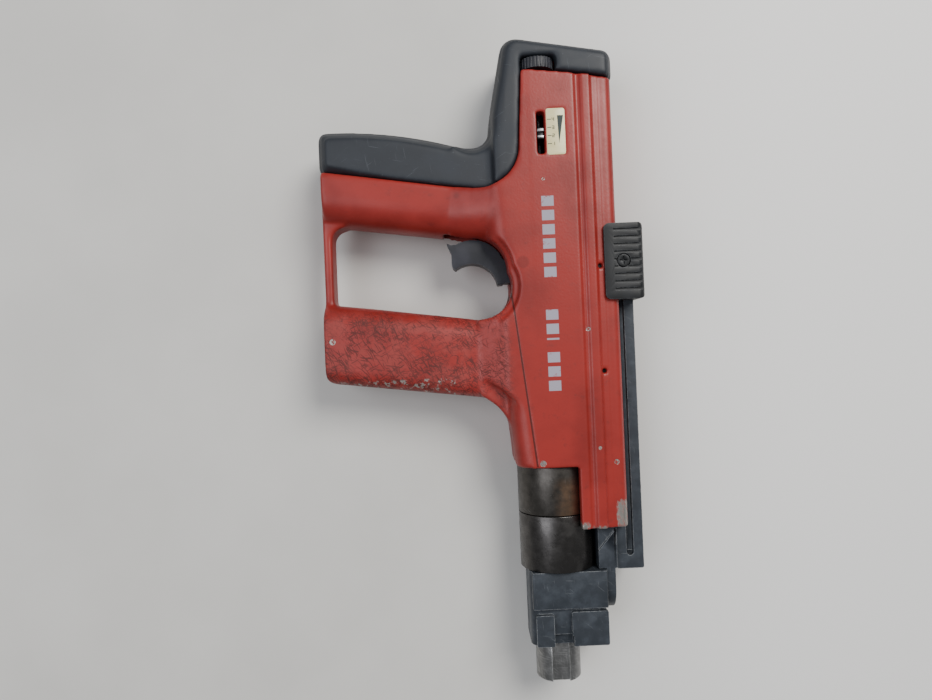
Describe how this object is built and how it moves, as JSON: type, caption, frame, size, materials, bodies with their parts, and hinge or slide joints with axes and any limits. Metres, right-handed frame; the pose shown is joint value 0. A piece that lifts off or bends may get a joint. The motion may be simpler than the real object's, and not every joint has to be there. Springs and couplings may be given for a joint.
{
  "type": "powder-actuated nail gun",
  "caption": "Powder-actuated fastening tool with a D-shaped handle, trigger, sliding cocking grip, power wheel with pointer and a spring-loaded nose that slides in when pressed.",
  "frame": {"origin": "centre of the bounding box on the ground, with the tool lying on its left flank", "axes": "+Y runs back along the barrel away from the muzzle, +X towards the cocking side, +Z out of the right flank"},
  "size_m": [0.1934, 0.3906, 0.053],
  "materials": {
    "red_enamel": "powder-coated die-cast aluminium, scuffed",
    "pad_rubber": "moulded slate rubber",
    "phosphated_steel": "phosphated black steel",
    "blued_steel": "blued steel, heat stained",
    "ground_steel": "ground hardened steel",
    "spring_steel": "oiled spring steel",
    "black_nylon": "moulded glass-filled nylon",
    "grip_casting": "black moulded grip with worn ribs",
    "scale_card": "cream printed plate under lacquer",
    "pointer_metal": "bright pointer with dark gap",
    "buffer_rubber": "hard buffer rubber"
  },
  "bodies": {
    "housing": {"housing": "red_enamel", "front_arm": "red_enamel", "grip_pad": "pad_rubber", "guide_rails": "phosphated_steel", "rail_pins": "ground_steel", "scale_plate": "scale_card", "cartridge_guide": "phosphated_steel", "breech_block": "ground_steel", "rear_plug": "ground_steel", "arm_pins": "ground_steel", "trigger_pin": "ground_steel", "firing_spring": "spring_steel", "contact_spring": "spring_steel", "trigger_spring": "spring_steel", "strip_pawl": "spring_steel"},
    "nose": {"piston_guide": "blued_steel", "ring_front": "blued_steel", "ring_rear": "blued_steel", "nose_block": "phosphated_steel", "fastener_guide": "phosphated_steel", "guide_pin": "ground_steel", "nose_bracket": "phosphated_steel", "bracket_screw": "ground_steel", "buffer_rings": "buffer_rubber", "guide_catch": "spring_steel"},
    "piston": {"piston": "ground_steel"},
    "firing_pin": {"firing_pin": "ground_steel"},
    "trigger": {"trigger": "black_nylon"},
    "sear": {"sear": "ground_steel"},
    "power_wheel": {"power_wheel": "black_nylon", "power_spindle": "ground_steel"},
    "power_pointer": {"power_pointer": "pointer_metal"},
    "cocking_grip": {"cocking_grip": "grip_casting", "cocking_screw": "ground_steel", "cocking_nut": "ground_steel", "carriage_block": "ground_steel"}
  },
  "joints": [
    {"name": "nose_press", "type": "slide", "parent": "housing", "child": "nose", "axis": [0, 1, 0], "range_m": [0, 0.016], "stiffness_N_per_m": 3000, "springref_m": -0.01, "deforming": ["contact_spring"]},
    {"name": "piston_stroke", "type": "slide", "parent": "nose", "child": "piston", "axis": [0, -1, 0], "range_m": [0, 0.0575]},
    {"name": "firing_pin_draw", "type": "slide", "parent": "housing", "child": "firing_pin", "axis": [0, 1, 0], "range_m": [0, 0.012], "stiffness_N_per_m": 1500, "springref_m": -0.006, "deforming": ["firing_spring"]},
    {"name": "trigger_pull", "type": "hinge", "parent": "housing", "child": "trigger", "pos_m": [0.02275, 0.0539, 0.0265], "axis": [0, 0, -1], "range_deg": [0, 12], "stiffness_Nm_per_rad": 2, "springref_deg": -5.73, "deforming": ["trigger_spring"]},
    {"name": "sear_draw", "type": "slide", "parent": "housing", "child": "sear", "axis": [-1, 0, 0], "range_m": [0, 0.0041]},
    {"name": "power_wheel_turn", "type": "hinge", "parent": "housing", "child": "power_wheel", "pos_m": [0.03845, 0.1779, 0.042], "axis": [0, 1, 0], "range_deg": [-350, 350]},
    {"name": "pointer_travel", "type": "slide", "parent": "housing", "child": "power_pointer", "axis": [0, 1, 0], "range_m": [-0.008, 0.008]},
    {"name": "cocking_stroke", "type": "slide", "parent": "housing", "child": "cocking_grip", "axis": [0, -1, 0], "range_m": [0, 0.095]}
  ],
  "couplings": [
    {"joint": "sear_draw", "follows": "trigger_pull", "m_per_rad": 0.0186},
    {"joint": "pointer_travel", "follows": "power_wheel_turn", "m_per_rad": 0.0013}
  ]
}
